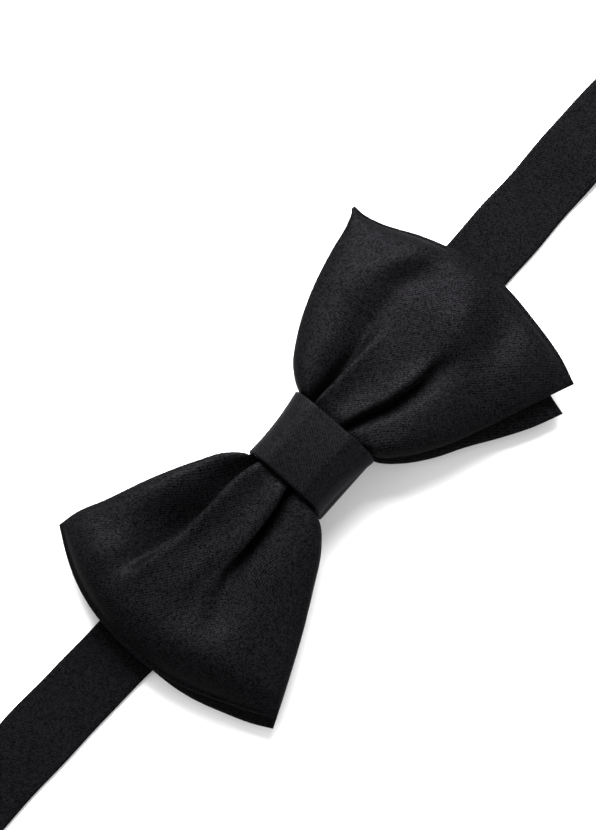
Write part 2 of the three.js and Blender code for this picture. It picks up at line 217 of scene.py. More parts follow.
# %% Outlines
FRONT = {
    "right": {
        "upper": [(0, 8.0), (6, 8.2), (9.6, 9.6), (11.0, 13.3), (14.6, 18.0), (20.6, 22.2),
                  (31, 27.0), (43.9, 30.7), (51, 32.2), (54.2, 33.5), (55.0, 34.1), (55.9, 33.9)],
        "lower": [(0, -8.0), (6, -8.2), (9.6, -9.6), (11.6, -13.4), (16, -17.6), (24, -22.8),
                  (34, -27.4), (44.1, -31.4), (52.9, -34.9), (57.8, -37.0)],
        "bulge": [(0, 0), (0.08, 2.7), (0.25, 6.2), (0.42, 8.4), (0.6, 7.8), (0.75, 4.9),
                  (0.9, 0.6), (0.96, -0.2), (1, 0)],
        "upper_crease": [(0, 4.6), (9.5, 7.0), (17, 7.0), (24, 7.4), (32, 8.3), (42, 9.5),
                         (52, 11.5), (61, 13.0)],
        "lower_crease": [(0, -1.5), (9.5, -1.2), (16.4, -3.6), (21, -5.6), (27, -7.2),
                         (34, -8.6), (44, -11.4), (54, -13.5), (63, -16)],
    },
    "left": {
        "upper": [(0, 8.0), (5, 8.2), (8.4, 9.2), (9.8, 12.4), (13.2, 16.4), (18.5, 19.8),
                  (29.5, 25.6), (41.2, 30.6), (47.5, 33.6), (52.9, 34.9)],
        "lower": [(0, -8.0), (5, -8.2), (8.6, -9.4), (10.6, -13.4), (15, -17.6), (22.8, -22.1),
                  (32.7, -27.4), (43.2, -32.3), (49.5, -35), (52.7, -36.4)],
        "bulge": [(0, 0), (0.057, 2.2), (0.158, 5.3), (0.3, 9.2), (0.45, 11.4), (0.6, 11.3),
                  (0.73, 9.9), (0.83, 7.4), (0.92, 3.9), (1, 0)],
        "upper_crease": [(0, 4.6), (9.3, 7.1), (16, 8.6), (24, 8.9), (32, 10.2), (38.4, 12),
                         (44, 13.9), (52, 16.5), (61, 19)],
        "lower_crease": [(0, -1.5), (9.1, -1.0), (14, -1.8), (20, -2.5), (30, -3.8),
                         (35.7, -6.1), (40.7, -8.6), (50, -12), (62, -15)],
    },
}


# %% [markdown]
# ## How a wing's cloth folds
#
# The bag is pinched at the waist into a box pleat: a raised middle pleat whose two edges
# lap over the panels beside it. Away from the knot the laps open into soft valleys that
# fade before the end edge. So a cross-section of the wing is a rounded mound with full
# sides, plus a step and a sideways lap at each crease, and all of it changes along the wing.
#
# A wing's heights are tables of (share of the wing's length, value in mm):
#
# - edge is the height of the folded edge, and top and bottom are how far the two faces stand
#   away from it;
# - low_side and up_side are how far in from each side the face comes to full height, and
#   end_roll is the same for the end edge, against the share across the wing;
# - of a crease, width is that of its step, valley and reach are the depth and the spread of
#   the dip beside it, lip is the swelling of the pleat's edge and lap its sideways overlap.

# %% Shoulders and creases
RIM = 0.6           # radius of the folded edge of the bag, mm
END_FLAT = 1.0      # flat seam allowance along the end edge, mm
END_BULGE = 6.0     # mean reach of the end edge past its two corners, mm
LIP_REACH = 3.0     # how far onto the pleat its swollen edge reaches, mm
LAP_FADE = 2.0      # a lap fades within this distance of the wing's sides, mm
LEAST_FULL = 1.96   # least thickness of the bag, in radii of its folded edge


def shoulder(distance, width):
    """A quarter circle's height, from 0 at the edge to 1 at the given distance from it."""
    return np.sqrt(1 - (1 - np.clip(distance / width, 0, 1)) ** 2)


def crease(distance, u, fold):
    """What one crease adds to the height, and the sideways lap of the pleat over it, in mm.

    distance is measured across the wing from the crease, positive on the pleat. The panel
    beside the pleat dives by the valley's depth, and the pleat's own edge swells by the lip.
    """
    width = table(fold["width"], u)
    step = 0.5 + 0.5 * np.tanh(distance / width)
    fade = np.exp(-((np.abs(distance) / table(fold["reach"], u)) ** 1.6))
    valley = table(fold["valley"], u) * fade
    lip = table(fold["lip"], u) * np.exp(-((distance / LIP_REACH) ** 2))
    t = distance / (1.1 * width)
    lap = table(fold["lap"], u) * t * np.exp((1 - t * t) / 2)
    return step * lip - (1 - step) * valley, lap


def tuck(x, y, x0, y0, turn, reach, half_width, height):
    """Cloth that climbs steeply at (x0, y0), in the direction turn from +X in degrees.

    With t the distance along that direction over reach and o the distance to its side over
    half_width, the added height is height times t times e to the minus (t squared + o
    squared), so it sinks a little before the climb and stands up a little after it.
    """
    ahead, aside = np.cos(np.radians(turn)), np.sin(np.radians(turn))
    t = ((x - x0) * ahead + (y - y0) * aside) / reach
    o = ((y - y0) * ahead - (x - x0) * aside) / half_width
    return height * t * np.exp(-t * t - o * o)


# %% One wing
def wing_grid(outline, rise, share, s):
    """Front and back heights of a wing over a grid: share along it, s from 0 to 3 across.

    s = 1 and s = 2 are the two creases. Returns (x, y, top, bottom) arrays in mm.
    """
    upper = spline(outline["upper"], share)
    lower = spline(outline["lower"], share)
    span = upper[:, 1] - lower[:, 1]
    middle_x = (upper[:, 0] + lower[:, 0]) / 2
    low = (table(outline["lower_crease"], middle_x) - lower[:, 1]) / span
    up = (table(outline["upper_crease"], middle_x) - lower[:, 1]) / span
    stops = np.stack([np.zeros_like(span), low, up, np.ones_like(span)], 1)
    panel = np.clip(np.floor(s).astype(int), 0, 2)
    f = stops[:, panel] * (panel + 1 - s) + stops[:, panel + 1] * (s - panel)
    u = share[:, None] * np.ones_like(f)

    x = lower[:, :1] * (1 - f) + upper[:, :1] * f
    y = lower[:, 1:] * (1 - f) + upper[:, 1:] * f
    x = x + table(outline["bulge"], f) * u**2.2
    from_low, from_up = f * span[:, None], (1 - f) * span[:, None]
    from_end = (1 - u) * (middle_x[-1] + END_BULGE)
    rim = RIM * shoulder(np.minimum(np.minimum(from_low, from_up), from_end), RIM)
    full = shoulder(from_end - END_FLAT, table(rise["end_roll"], f))
    mound = (full * shoulder(from_low, np.minimum(table(rise["low_side"], u), span[:, None] / 2))
             * shoulder(from_up, np.minimum(table(rise["up_side"], u), span[:, None] / 2)))

    level = table(rise["edge"], u)
    top = level + rim + table(rise["top"], u) * mound
    bottom = level - rim - table(rise["bottom"], u) * mound
    for row in rise["tucks"]:
        top = top + tuck(x, y, *row) * mound
    for place, inward, fold in ((low, 1, rise["low"]), (up, -1, rise["up"])):
        height, lap = crease((f - place[:, None]) * span[:, None] * inward, u, fold)
        top = top + height * mound
        y = y - inward * lap * np.clip(np.minimum(from_low, from_up) / LAP_FADE, 0, 1)
    return x, y, np.maximum(top, bottom + LEAST_FULL * rim), bottom


def even(count):
    """Shares from 0 to 1, closer together at both ends."""
    return 0.5 - 0.5 * np.cos(np.pi * np.linspace(0, 1, count))


def across(count):
    """Places from 0 to 3, closer together at the edges and at both creases."""
    panel = even(count + 1)
    return np.concatenate([panel[:-1], 1 + panel[:-1], 2 + panel])


def join_wings(name, wings):
    """One closed bag from the (x, y, top, bottom) of the left wing and of the right wing."""
    faces = []
    for face in (2, 3):
        left, right = (np.stack([sign * wing[0], wing[1], wing[face]], -1)
                       for sign, wing in zip((-1, 1), wings))
        faces.append(np.concatenate([left[:0:-1], right]))
    return pillow(name, *faces)


def bow_layer(name, shape, rows, columns_per_panel):
    """A whole bow layer as one closed bag, from the left end to the right end.

    Its rows lie closer together at the ends of each wing, where the cloth turns most.
    """
    share = 0.35 * even(rows) + 0.65 * np.linspace(0, 1, rows) ** 0.9
    return join_wings(name, [wing_grid(outline, rise, share, across(columns_per_panel))
                             for outline, rise in shape])


# %% [markdown]
# ## Front bow
#
# The front wings stand full and round, because nothing presses on them. The pleat's laps
# are crisp for the first half of each wing and open after that. A wing also has a few soft
# dimples, where the cloth was pressed in handling: each is a tuck in the rows below, as
# (x, y, direction in degrees, reach, half width, height in mm).


# %% Right front wing
right_rise = {
    "edge": [(0, 10.9), (0.17, 10.4), (0.3, 9.0), (0.6, 7.6), (0.85, 7.0), (1, 6.8)],
    "top": [(0, 2.6), (0.16, 3.6), (0.24, 5.0), (0.4, 6.2), (0.6, 6.4), (0.8, 6.4), (0.92, 5.0),
            (1, 2.2)],
    "bottom": [(0, 2.6), (0.17, 2.6), (0.4, 1.6), (0.7, 0.9), (1, 0.4)],
    "low_side": [(0, 3), (0.17, 3.2), (0.35, 5.5), (0.6, 16), (1, 26)],
    "up_side": [(0, 3), (0.17, 4.0), (0.35, 7), (0.6, 16), (1, 26)],
    "end_roll": [(0, 3), (1, 3)],
    "low": {
        "width": [(0, 0.3), (0.45, 0.3), (0.58, 0.6), (0.68, 2.0), (1, 5)],
        "valley": [(0, 1.0), (0.17, 4.0), (0.4, 5.0), (0.56, 3.8), (0.7, 1.6), (1, 0)],
        "reach": [(0, 1.5), (0.17, 1.7), (0.4, 2.8), (0.58, 3.8), (0.8, 7), (1, 9)],
        "lip": [(0, 0.3), (0.17, 0.9), (0.5, 1.4), (0.62, 0.8), (0.8, 0), (1, 0)],
        "lap": [(0, 0.3), (0.17, 0.3), (0.45, 0.6), (0.58, 0.5), (0.66, 0), (1, 0)],
    },
    "up": {
        "width": [(0, 0.3), (0.35, 0.3), (0.48, 0.8), (0.62, 2.2), (1, 5)],
        "valley": [(0, 1.0), (0.17, 4.6), (0.36, 5.4), (0.5, 3.6), (0.66, 2.2), (0.85, 1.2),
                   (1, 0)],
        "reach": [(0, 1.2), (0.17, 1.7), (0.36, 2.9), (0.5, 4.2), (0.66, 8), (0.85, 10),
                  (1, 10)],
        "lip": [(0, 0.3), (0.17, 0.9), (0.4, 1.2), (0.6, 0.5), (1, 0)],
        "lap": [(0, 0.3), (0.17, 0.25), (0.35, 0.4), (0.46, 0.3), (0.56, 0), (1, 0)],
    },
    "tucks": [(52.0, 12.0, 70, 4.4, 7, 2.5), (42, 13, 80, 8, 12, 1.6),
              (50.8, -11.5, 122, 7.0, 9.5, 3.9)],
}

# %% Left front wing
left_rise = {
    "edge": [(0, 10.9), (0.17, 10.4), (0.3, 9.0), (0.6, 7.6), (0.85, 7.0), (1, 6.6)],
    "top": [(0, 2.6), (0.15, 3.6), (0.24, 5.2), (0.4, 6.4), (0.6, 6.8), (0.8, 7.4), (0.9, 7.0),
            (0.96, 5.6), (1, 3.8)],
    "bottom": [(0, 2.6), (0.17, 2.6), (0.4, 1.6), (0.7, 0.9), (1, 0.4)],
    "low_side": [(0, 3), (0.17, 3.4), (0.35, 6), (0.6, 14), (1, 22)],
    "up_side": [(0, 2.5), (0.17, 3.0), (0.35, 4), (0.6, 7), (1, 20)],
    "end_roll": [(0, 5.5), (0.5, 5.5), (0.8, 3), (1, 2)],
    "low": {
        "width": [(0, 0.3), (0.45, 0.3), (0.56, 0.6), (0.7, 2.2), (1, 5)],
        "valley": [(0, 1.0), (0.17, 3.2), (0.4, 4.8), (0.55, 4.0), (0.7, 2.2), (0.85, 0.7), (1, 0)],
        "reach": [(0, 1.3), (0.17, 2.2), (0.4, 3.6), (0.7, 4.6), (1, 8)],
        "lip": [(0, 0.3), (0.17, 0.9), (0.4, 1.3), (0.6, 0.9), (1, 0)],
        "lap": [(0, 0.4), (0.17, 0.9), (0.4, 1.5), (0.55, 1.1), (0.66, 0), (1, 0)],
    },
    "up": {
        "width": [(0, 0.3), (0.55, 0.4), (0.7, 0.6), (0.8, 1.4), (0.9, 4), (1, 5)],
        "valley": [(0, 1.4), (0.17, 5.2), (0.4, 7.4), (0.6, 6.8), (0.76, 4.4), (0.9, 1.4), (1, 0)],
        "reach": [(0, 2.5), (0.17, 6), (0.4, 11), (0.6, 12), (0.78, 7), (1, 8)],
        "lip": [(0, 0.3), (0.17, 0.9), (0.4, 1.2), (0.65, 1.1), (0.8, 0.6), (1, 0)],
        "lap": [(0, 0.4), (0.17, 0.9), (0.4, 1.2), (0.6, 0.9), (0.7, 0.5), (0.8, 0.1), (1, 0)],
    },
    "tucks": [(32, 17, 140, 8, 10, 2.4), (37.5, -0.5, 90, 2.4, 8, 0.8),
              (49, -9, -45, 8, 9, 1.8), (47, 22, -45, 7, 8, 2.3)],
}

# %% Front bow
front_shape = ((FRONT["left"], left_rise), (FRONT["right"], right_rise))
front_bow = bow_layer("front_bow_satin", front_shape, rows=96, columns_per_panel=34)
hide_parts("front_bow")
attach(front_bow, "bow")

# %% [markdown]
# ## Back bow
#
# The second bag lies flat behind the first. Its corners are set a little differently, so
# it shows as a rim along the lower edges. Its folds are shallow, because nothing lifts them.

# %% Back bow
BACK = {
    "right": {
        "upper": [(0, 8.0), (6, 8.2), (9.6, 9.6), (11.0, 12.6), (15, 17.4), (21, 21.6), (31, 26),
                  (43, 29.4), (53.4, 31.8)],
        "lower": [(0, -8.0), (6, -8.2), (9.4, -10), (11, -13.6), (15, -18.2), (21, -22.8), (28.4, -27.0),
                  (36, -31.9), (43, -36), (51, -39.6)],
        "bulge": [(0, 0), (0.08, 1.5), (0.25, 6.2), (0.42, 9.6), (0.6, 9), (0.75, 6.4),
                  (0.9, 2.4), (1, 0)],
        "upper_crease": FRONT["right"]["upper_crease"],
        "lower_crease": FRONT["right"]["lower_crease"],
    },
    "left": {
        "upper": [(0, 8.0), (5, 8.2), (8.4, 9.2), (10.2, 12.2), (14, 16), (19, 19.2), (29.5, 24.6),
                  (41, 29.4), (51, 33)],
        "lower": [(0, -8.0), (5, -8.2), (8.6, -9.6), (10.8, -13.6), (15.4, -17.8), (23, -22.2),
                  (33, -27.4), (44, -32.6), (55, -37.4)],
        "bulge": [(0, 0), (0.057, 2.4), (0.158, 5.6), (0.3, 9.2), (0.45, 10.8), (0.6, 10.9), (0.73, 9.6),
                  (0.83, 7.2), (0.92, 3.9), (1, 0)],
        "upper_crease": FRONT["left"]["upper_crease"],
        "lower_crease": FRONT["left"]["lower_crease"],
    },
}
flat_fold = {
    "width": [(0, 0.6), (0.4, 1.2), (1, 4)],
    "valley": [(0, 0.2), (0.3, 0.6), (0.6, 0.3), (1, 0)],
    "reach": [(0, 2), (0.5, 5), (1, 8)],
    "lip": [(0, 0.1), (0.3, 0.4), (0.6, 0.1), (1, 0)],
    "lap": [(0, 0.2), (0.3, 0.5), (0.5, 0), (1, 0)],
}
back_rise = {
    "edge": [(0, 5.1), (0.17, 5.0), (0.5, 3.6), (1, 3.3)],
    "top": [(0, 0.9), (0.17, 0.9), (0.5, 1.2), (0.85, 1.1), (1, 0.5)],
    "bottom": [(0, 0.8), (0.17, 0.7), (0.5, 0.1), (1, 0.1)],
    "low_side": [(0, 3), (1, 14)],
    "up_side": [(0, 3), (1, 14)],
    "end_roll": [(0, 5), (1, 5)],
    "low": flat_fold,
    "up": flat_fold,
    "tucks": [],
}
back_shape = ((BACK["left"], back_rise), (BACK["right"], back_rise))
back_bow = bow_layer("back_bow_satin", back_shape, rows=60, columns_per_panel=20)
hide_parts("back_bow")
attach(back_bow, "bow")

# %% [markdown]
# ## Interlinings
#
# Each bag holds a stiff interlining cut a little smaller than the bag. It is taken over the
# same grid as the bag itself, stopped short of its edges, and lies just inside the bag's
# back, where the folds of the front don't reach it.

# %% Interlinings
LINING_THICK = 0.3
LINING_LIFT = 0.3           # height over the inside of the bag's back, mm
LINING_LENGTH = 0.95        # share of the bag's length that it reaches
LINING_WIDTH = 0.93         # share of the bag's width that it covers
LINING_ROWS, LINING_COLUMNS = 48, 12


def lining(name, shape, node):
    """A thin closed sheet inside a bow layer, over its back."""
    share = LINING_LENGTH * np.linspace(0, 1, LINING_ROWS)
    s = 1.5 + (across(LINING_COLUMNS) - 1.5) * LINING_WIDTH
    wings = []
    for outline, rise in shape:
        x, y, top, bottom = wing_grid(outline, rise, share, s)
        half = np.minimum(LINING_THICK / 2, (top - bottom) * 0.15)
        half[-1] = half[:, 0] = half[:, -1] = 0
        middle = bottom + np.minimum(LINING_THICK / 2 + LINING_LIFT, (top - bottom) * 0.35)
        wings.append((x, y, middle + half, middle - half))
    piece = join_wings(name, wings)
    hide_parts(node)
    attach(piece, "bow")
    return piece


front_lining = lining("front_bow_lining", front_shape, "front_bow_interlining")
back_lining = lining("back_bow_lining", back_shape, "back_bow_interlining")

# %% [markdown]
# ## Swept bands
#
# The knot band and the strap are flat tubes of satin: a strip folded on both long edges
# and pressed. Each is a thin rounded section swept along a path.


# %% Sweeping
EDGE_STEPS = 5              # points round each folded edge


def band_section(width, thick, columns):
    """Points (across, out) round a flat section with half-round edges, in mm, not closed."""
    half = width / 2 - thick / 2
    flat = np.linspace(-half, half, columns)
    angle = np.linspace(np.pi / 2, -np.pi / 2, EDGE_STEPS + 2)[1:-1]
    top = np.stack([flat, np.full_like(flat, thick / 2)], -1)
    right = np.stack([half + thick / 2 * np.cos(angle), thick / 2 * np.sin(angle)], -1)
    return np.concatenate([top, right, top[::-1] * [1, -1], right[::-1] * [-1, 1]])


def sweep(name, centres, outward, across, section, closed=False, shift=None):
    """A section swept along centres: across is the section's first axis, outward its second."""
    count, ring = len(centres), len(section)
    points = (centres[:, None] + across[:, None] * section[None, :, :1]
              + outward[:, None] * section[None, :, 1:])
    if shift is not None:
        points = points + shift(points)
    index = np.arange(count * ring).reshape(count, ring)
    following = np.roll(index, -1, axis=0) if closed else index[1:]
    here = index if closed else index[:-1]
    quads = np.stack([here, np.roll(here, -1, axis=1), np.roll(following, -1, axis=1), following], -1)
    quads = quads.reshape(-1, 4)
    along = np.concatenate([[0], np.cumsum(np.linalg.norm(np.diff(centres, axis=0), axis=1))])
    round_section = np.concatenate([[0], np.cumsum(np.linalg.norm(np.diff(section, axis=0), axis=1))])
    uv = np.stack(np.broadcast_arrays(along[:, None], round_section[None]), -1).reshape(-1, 2)
    piece = new_object(name, points.reshape(-1, 3), quads, uv)
    if not closed:
        close_ends(piece, index)
    return piece


def close_ends(piece, index):
    """Adds one face over each open end of a swept piece."""
    work = bmesh.new()
    work.from_mesh(piece.data)
    work.verts.ensure_lookup_table()
    work.faces.new([work.verts[i] for i in index[0]])
    work.faces.new([work.verts[i] for i in index[-1][::-1]])
    bmesh.ops.recalc_face_normals(work, faces=work.faces)
    work.to_mesh(piece.data)
    work.free()
    piece.data.shade_smooth()


# %% [markdown]
# ## Knot band
#
# A short strip of folded satin is drawn tight round both bows and the strap, and its ends
# are stitched together at the back. It is swept round a loop with a flat back and wide
# round shoulders. The wings push it open a little at its corners, so the finished sweep is
# flared there, and a shallow dent runs across its front near the lower edge.


# %% Knot band
KNOT_LOW, KNOT_HIGH = (np.array(c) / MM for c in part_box("knot_band"))
KNOT_MIDDLE_X = (KNOT_LOW[0] + KNOT_HIGH[0]) / 2
KNOT_LENGTH = KNOT_HIGH[0] - KNOT_LOW[0]
KNOT_THICK = 0.95
KNOT_HALF_WIDTH = 11.9
KNOT_BACK_RADIUS, KNOT_FRONT_RADIUS = 1.0, 6.2
DENT_Y, DENT_WIDTH, DENT_DEPTH = -7.6, 1.6, 0.55


def knot_loop(count):
    """Points of the knot's loop in the YZ plane, with outward normals, all in mm."""
    half = (KNOT_HIGH[1] - KNOT_LOW[1]) / 2 - KNOT_THICK / 2
    height = KNOT_HIGH[2] - KNOT_THICK / 2
    low, high = KNOT_BACK_RADIUS, KNOT_FRONT_RADIUS
    base = KNOT_THICK / 2
    corners_yz = [
        (half - low, base + low, low, -90, 0),
        (half - high, height - high, high, 0, 90),
        (-half + high, height - high, high, 90, 180),
        (-half + low, base + low, low, 180, 270),
    ]
    outline, normals = [], []
    for y, z, radius, start, stop in corners_yz:
        angle = np.radians(np.linspace(start, stop, 24))
        ring = np.stack([np.cos(angle), np.sin(angle)], -1)
        outline.append(np.array([y, z]) + radius * ring)
        normals.append(ring)
    outline, normals = np.concatenate(outline), np.concatenate(normals)
    closed = np.concatenate([outline, outline[:1]])
    steps = np.concatenate([[0], np.cumsum(np.linalg.norm(np.diff(closed, axis=0), axis=1))])
    t = np.linspace(0, steps[-1], count, endpoint=False)
    closed_normals = np.concatenate([normals, normals[:1]])
    place = np.stack([np.interp(t, steps, closed[:, k]) for k in (0, 1)], -1)
    normal = np.stack([np.interp(t, steps, closed_normals[:, k]) for k in (0, 1)], -1)
    return place, normal / np.linalg.norm(normal, axis=1, keepdims=True)


def knot_flare(points):
    """The band is drawn in at its middle and flares at its corners, more at its right end."""
    x, y, z = points[..., 0], points[..., 1], points[..., 2]
    t = (x - KNOT_MIDDLE_X) / (KNOT_LENGTH / 2)
    above = ease((z - 3) / 6)
    side = y / KNOT_HALF_WIDTH
    flare = 0.7 * t + 0.6 * t**2 - 0.3
    dent = DENT_DEPTH * np.exp(-(((y - DENT_Y) / DENT_WIDTH) ** 2))
    move = np.zeros_like(points)
    move[..., 1] = above * side * flare
    move[..., 2] = above * (-0.5 * t**2 * (1 - side**2) - dent)
    return move


loop, normal = knot_loop(220)
zeros = np.zeros(len(loop))
knot = sweep(
    "knot_satin",
    np.stack([zeros + KNOT_MIDDLE_X, loop[:, 0], loop[:, 1]], -1),
    np.stack([zeros, normal[:, 0], normal[:, 1]], -1),
    np.stack([zeros + 1, zeros, zeros], -1),
    band_section(KNOT_LENGTH, KNOT_THICK, 40),
    closed=True, shift=knot_flare)
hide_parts("knot_band")
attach(knot, "bow")

# %% [markdown]
# ## Strap
#
# The strap is one strip of satin, folded into a flat tube 18 mm wide and pressed. It is made
# in four lengths, because each length bends across one joint: from the knot round the eye,
# from the knot to the slide, from the slide to the hook, and from the hook back round the
# slide. The wings hide it near the knot, and it drifts a little to one side where it was laid.


# %% Strap
STRAP_WIDTH = 18.0
STRAP_THICK = 1.0
STRAP_Y = 1.5
STRAP_STEP = 1.2            # spacing of the sections along it, mm
STRAP_RIPPLE = 0.12         # height of the waves of its pressed edges, mm

# How far the strap drifts to one side: (distance from the knot's middle, drift), in mm.
DRIFT_RIGHT = [(0, 0), (40, 0.1), (80, 0.3), (115, 0.5), (140, 0.2), (160, 0), (240, 0)]
DRIFT_LEFT = [(0, 0), (34, 0.1), (64, 1.8), (110, 3.0), (150, 2.4), (190, 0.4), (205, 0), (240, 0)]


def strap_drift(x):
    """How far the strap lies to one side of its straight line, in mm, at x in mm."""
    return np.where(x > 0, table(DRIFT_RIGHT, x), table(DRIFT_LEFT, -x))


def strap_wave(points):
    """Small waves of the pressed edges, in mm."""
    x, y = points[..., 0], points[..., 1]
    side = (y - STRAP_Y) / (STRAP_WIDTH / 2)
    move = np.zeros_like(points)
    move[..., 1] = side * STRAP_RIPPLE * (np.sin(x / 5.3) + np.sin(x / 3.1 + 1) * 0.6)
    return move


def bend_path(points):
    """A path that passes its points on a smooth curve, sampled finely."""
    return spline(points, np.linspace(0, 1, 200))


def turn_round(x, z, start, stop):
    """The strap's path round a bar at (x, z) in mm, from one angle to another in degrees."""
    angles = np.radians(np.linspace(start, stop, 16))
    return [(x + TURN * np.cos(a), z + TURN * np.sin(a)) for a in angles]


def strap(name, path):
    """A length of strap along (x, z) points in mm, with a slightly uneven pressed edge."""
    path = np.asarray(path, float)
    steps = np.concatenate([[0], np.cumsum(np.linalg.norm(np.diff(path, axis=0), axis=1))])
    count = max(int(steps[-1] / STRAP_STEP), 12)
    t = np.linspace(0, steps[-1], count)
    xz = np.stack([np.interp(t, steps, path[:, k]) for k in (0, 1)], -1)
    tangent = np.gradient(xz, axis=0)
    tangent /= np.linalg.norm(tangent, axis=1, keepdims=True)
    zeros = np.zeros(count)
    outward = np.stack([-tangent[:, 1], zeros, tangent[:, 0]], -1)
    across = np.stack([zeros, zeros + 1, zeros], -1)
    centres = np.stack([xz[:, 0], zeros + STRAP_Y, xz[:, 1]], -1)
    centres[:, 1] += strap_drift(xz[:, 0])
    section = band_section(STRAP_WIDTH, STRAP_THICK, 30)
    return sweep(name, centres, outward, across, section, shift=strap_wave)


# %% [markdown]
# The lengths are drawn from the side, as (x, z) points in mm. Heights are those of the
# cloth's middle: in the knot, on the table, and on the end bars of the slide. The cloth goes
# round each bar at its own half thickness and a small clearance.

# %% Heights and bars
IN_KNOT, ON_TABLE, ON_SLIDE = 1.8, 0.55, 1.5
TURN = 1.3                  # radius of the cloth's middle round a bar, mm
EYE_BAR, HOOK_BAR, SLIDE_BAR = (-208, 1.8), (208, 2.8), (150, 4.1)
RUN_START, RUN_END = 164.7, 202.85

# %% From the knot round the eye
left_path = np.concatenate([
    bend_path([(0.1, IN_KNOT), (-15, IN_KNOT), (-31, IN_KNOT), (-45, 1.1), (-58, ON_TABLE),
               (-80, ON_TABLE), (-140, ON_TABLE), (-208, 0.5)]),
    turn_round(*EYE_BAR, -100, -270),
    [(-206, 3.05), (-204, 2.9), (-200, 2.0), (-198, 1.85), (-190, 1.8)],
])
left_strap = strap("strap_left_satin", left_path)
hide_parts("strap_center", "strap_left")
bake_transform(left_strap)

# %% From the knot through the slide
right_strap = strap("strap_right_satin", bend_path(
    [(-0.1, IN_KNOT), (15, IN_KNOT), (31, IN_KNOT), (45, 1.1), (58, ON_TABLE), (80, ON_TABLE),
     (96, 0.7), (104, 1.4), (112, ON_SLIDE), (140, ON_SLIDE), (RUN_START, ON_SLIDE)]))
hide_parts("strap_right")
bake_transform(right_strap)

# %% On to the hook
run_strap = strap("strap_run_satin", [(RUN_START, ON_SLIDE), (RUN_END, ON_SLIDE)])
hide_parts("strap_hook_run")
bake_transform(run_strap)

# %% Round the hook and back round the slide
return_path = np.concatenate([
    [(RUN_END, ON_SLIDE), (206, ON_SLIDE)],
    turn_round(*HOOK_BAR, -90, 90),
    [(205, 4.05), (203, 3.9), (198, 3.0), (195, 2.8), (160, 2.8), (152, 2.8)],
    turn_round(*SLIDE_BAR, -90, -270),
    [(152, 5.35), (153.5, 4.9), (155, 4.25), (158, 4.1)],
])
return_strap = strap("strap_return_satin", return_path)
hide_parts("strap_hook_turn", "strap_return_run", "strap_slide_wrap")
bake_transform(return_strap)

# %% [markdown]
# ## Materials
#
# Every finish is procedural: sums of noise, cells and waves over the cloth's own lengths, or
# over the object where a solid has no lengths of its own. They are written with ordinary
# operators through a small wrapper, so that each sum reads as a formula.


# %% Shader sums
class Field:
    """A shader socket that can be added, multiplied and mixed."""

    def __init__(self, tree, socket):
        self.tree, self.socket = tree, socket

    def math(self, operation, other=None, swap=False):
        """One math node on this field and, where given, another field or number."""
        node = self.tree.nodes.new("ShaderNodeMath")
        node.operation = operation
        first, second = (other, self) if swap else (self, other)
        for socket, value in zip(node.inputs, (first, second)):
            if isinstance(value, Field):
                self.tree.links.new(value.socket, socket)
            elif value is not None:
                socket.default_value = value
        return Field(self.tree, node.outputs[0])

    def __add__(self, other):
        return self.math("ADD", other)

    def __mul__(self, other):
        return self.math("MULTIPLY", other)

    def __sub__(self, other):
        return self.math("SUBTRACT", other)

    def __rsub__(self, other):
        return self.math("SUBTRACT", other, swap=True)

    __radd__, __rmul__ = __add__, __mul__

    def sine(self):
        """The sine of a field in radians."""
        return self.math("SINE")

    def contrast(self, gain):
        """Spread away from 0.5 by a gain, and held between 0 and 1."""
        spread = (self - 0.5) * gain + 0.5
        return spread.math("MAXIMUM", 0.0).math("MINIMUM", 1.0)


MIX_FIRST, MIX_SECOND = 6, 7        # a colour Mix node's two colour inputs


